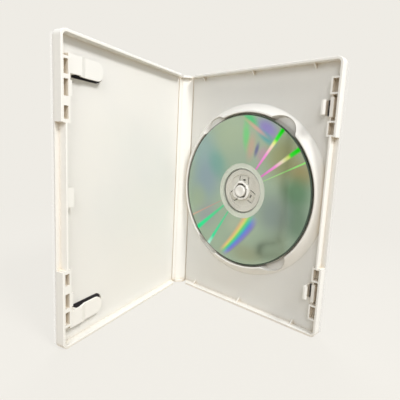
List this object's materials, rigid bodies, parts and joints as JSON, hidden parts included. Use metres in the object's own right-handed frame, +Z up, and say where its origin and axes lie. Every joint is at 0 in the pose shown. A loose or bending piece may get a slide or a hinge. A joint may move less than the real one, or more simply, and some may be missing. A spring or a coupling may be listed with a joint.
{
  "type": "game disc case",
  "caption": "Open keep case for a game disc: hinged cover with booklet clips, spine, and tray with a push-button disc hub.",
  "frame": {"origin": "middle of the bounding box's bottom face, on the plane the open case stands on", "axes": "+Z up along the spine, +X toward the tray, +Y toward the back of the spine, so the open side faces -Y"},
  "size_m": [0.18, 0.1128, 0.19],
  "materials": {
    "case_plastic": "satin gloss, warm white moulded plastic",
    "disc": "mirror-like data side with rainbow streaks",
    "sleeve_film": "clear thin film"
  },
  "bodies": {
    "spine": {"spine": "case_plastic", "spine_film": "sleeve_film"},
    "cover": {"front_cover": "case_plastic", "front_film": "sleeve_film"},
    "tray": {"back_tray": "case_plastic", "back_film": "sleeve_film"},
    "disc": {"game_disc": "disc"},
    "button": {"hub_button": "case_plastic"},
    "finger_1": {"hub_finger_1": "case_plastic"},
    "finger_2": {"hub_finger_2": "case_plastic"},
    "finger_3": {"hub_finger_3": "case_plastic"}
  },
  "joints": [
    {"name": "cover_hinge", "type": "hinge", "parent": "spine", "child": "cover", "pos_m": [-0.007, 0.05594, 0.095], "axis": [0, 0, 1], "range_deg": [-53, 37]},
    {"name": "tray_hinge", "type": "hinge", "parent": "spine", "child": "tray", "pos_m": [0.007, 0.05594, 0.095], "axis": [0, 0, -1], "range_deg": [-53, 37]},
    {"name": "disc_spin", "type": "hinge", "parent": "tray", "child": "disc", "pos_m": [0.041, 0.00143, 0.0959], "axis": [-0.7986, -0.6018, 0], "continuous": true},
    {"name": "button_press", "type": "slide", "parent": "tray", "child": "button", "axis": [0.7986, 0.6018, 0], "range_m": [0, 0.0012], "stiffness_N_per_m": 1500},
    {"name": "finger_1_bend", "type": "hinge", "parent": "tray", "child": "finger_1", "pos_m": [0.0426, 0.00263, 0.1085], "axis": [0.6018, -0.7986, 0], "range_deg": [0, 8]},
    {"name": "finger_2_bend", "type": "hinge", "parent": "tray", "child": "finger_2", "pos_m": [0.03603, 0.01135, 0.0896], "axis": [-0.3009, 0.3993, 0.866], "range_deg": [0, 8]},
    {"name": "finger_3_bend", "type": "hinge", "parent": "tray", "child": "finger_3", "pos_m": [0.04917, -0.00608, 0.0896], "axis": [-0.3009, 0.3993, -0.866], "range_deg": [0, 8]}
  ],
  "couplings": [
    {"joint": "finger_1_bend", "follows": "button_press", "rad_per_m": 116},
    {"joint": "finger_2_bend", "follows": "button_press", "rad_per_m": 116},
    {"joint": "finger_3_bend", "follows": "button_press", "rad_per_m": 116}
  ]
}
